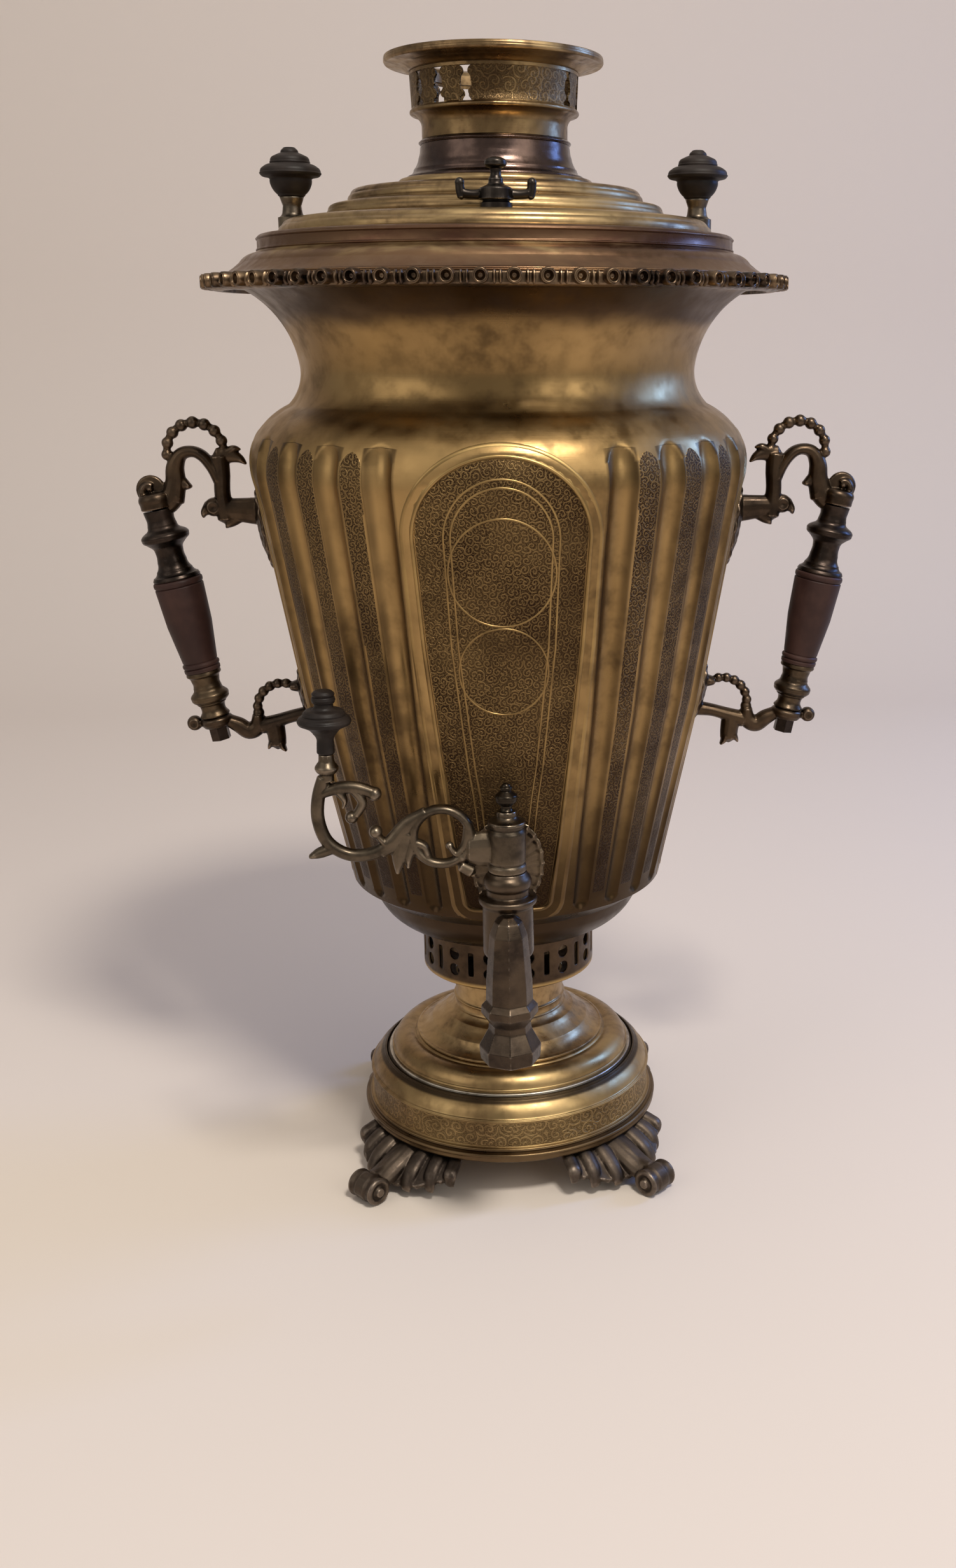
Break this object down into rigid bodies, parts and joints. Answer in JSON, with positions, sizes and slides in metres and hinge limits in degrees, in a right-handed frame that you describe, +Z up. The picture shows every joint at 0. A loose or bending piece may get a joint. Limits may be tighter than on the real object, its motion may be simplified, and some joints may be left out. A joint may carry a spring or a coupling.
{
  "type": "samovar",
  "caption": "Charcoal samovar: fluted vase urn on a pierced collar and scroll feet, with plug tap, side handles, stepped lid with steam vent, and pierced teapot crown.",
  "frame": {"origin": "on the urn's axis, at the plane the feet stand on", "axes": "+Z up along the urn's axis, -Y towards the tap, X along the two side handles"},
  "size_m": [0.3678, 0.283, 0.56],
  "materials": {
    "brass_body": "aged, satin",
    "brass_lid": "aged, satin",
    "dark_copper": "dark patina",
    "brass_crown": "aged, satin",
    "tube_brass": "sooty",
    "cast_iron": "rough",
    "bronze_foot": "dark cast",
    "tap_bronze": "dark, worn edges",
    "tap_packing": "matte",
    "black_knob": "black lacquer",
    "brass_trim": "aged",
    "dark_bronze": "dark cast",
    "wood_grip": "matte stained",
    "steel": "dull"
  },
  "bodies": {
    "urn": {"urn_body": "brass_body", "rim_ring": "brass_body", "pedestal": "brass_body", "base_drum": "brass_body", "base_plate": "brass_body", "pierced_collar": "brass_body", "fire_tube": "tube_brass", "fire_grate": "cast_iron", "foot_front_left": "bronze_foot", "foot_front_right": "bronze_foot", "foot_back_left": "bronze_foot", "foot_back_right": "bronze_foot", "tap_body": "tap_bronze", "tap_escutcheon": "tap_bronze", "tap_nut": "tap_bronze", "tap_washer": "tap_packing", "left_upper_bracket": "dark_bronze", "left_lower_bracket": "dark_bronze", "left_upper_ferrule": "dark_bronze", "left_lower_ferrule": "dark_bronze", "left_grip": "wood_grip", "left_grip_rod": "steel", "left_rod_nut": "steel", "right_upper_bracket": "dark_bronze", "right_lower_bracket": "dark_bronze", "right_upper_ferrule": "dark_bronze", "right_lower_ferrule": "dark_bronze", "right_grip": "wood_grip", "right_grip_rod": "steel", "right_rod_nut": "steel", "foot_screws": "steel"},
    "tap_key": {"tap_key": "tap_bronze", "tap_key_finial": "tap_bronze", "tap_key_knob": "black_knob"},
    "lid": {"lid_shell": "brass_lid", "lid_collar": "dark_copper", "lid_knob_nuts": "brass_trim", "left_lid_knob": "black_knob", "right_lid_knob": "black_knob", "left_lid_knob_stem": "brass_trim", "right_lid_knob_stem": "brass_trim", "vent_seat": "brass_trim"},
    "vent_cap": {"vent_cap": "brass_trim"},
    "crown": {"crown_gallery": "brass_crown", "crown_rim": "brass_crown", "crown_sleeve": "brass_crown"}
  },
  "joints": [
    {"name": "tap_turn", "type": "hinge", "parent": "urn", "child": "tap_key", "pos_m": [0, -0.112, 0.173], "axis": [0, 0, 1], "range_deg": [0, 180]},
    {"name": "lid_lift", "type": "slide", "parent": "urn", "child": "lid", "axis": [0, 0, 1], "range_m": [0, 0.12]},
    {"name": "vent_turn", "type": "hinge", "parent": "lid", "child": "vent_cap", "pos_m": [0, -0.088, 0.492], "axis": [0, 0, 1], "range_deg": [0, 25]},
    {"name": "crown_lift", "type": "slide", "parent": "lid", "child": "crown", "axis": [0, 0, 1], "range_m": [0, 0.06]}
  ]
}
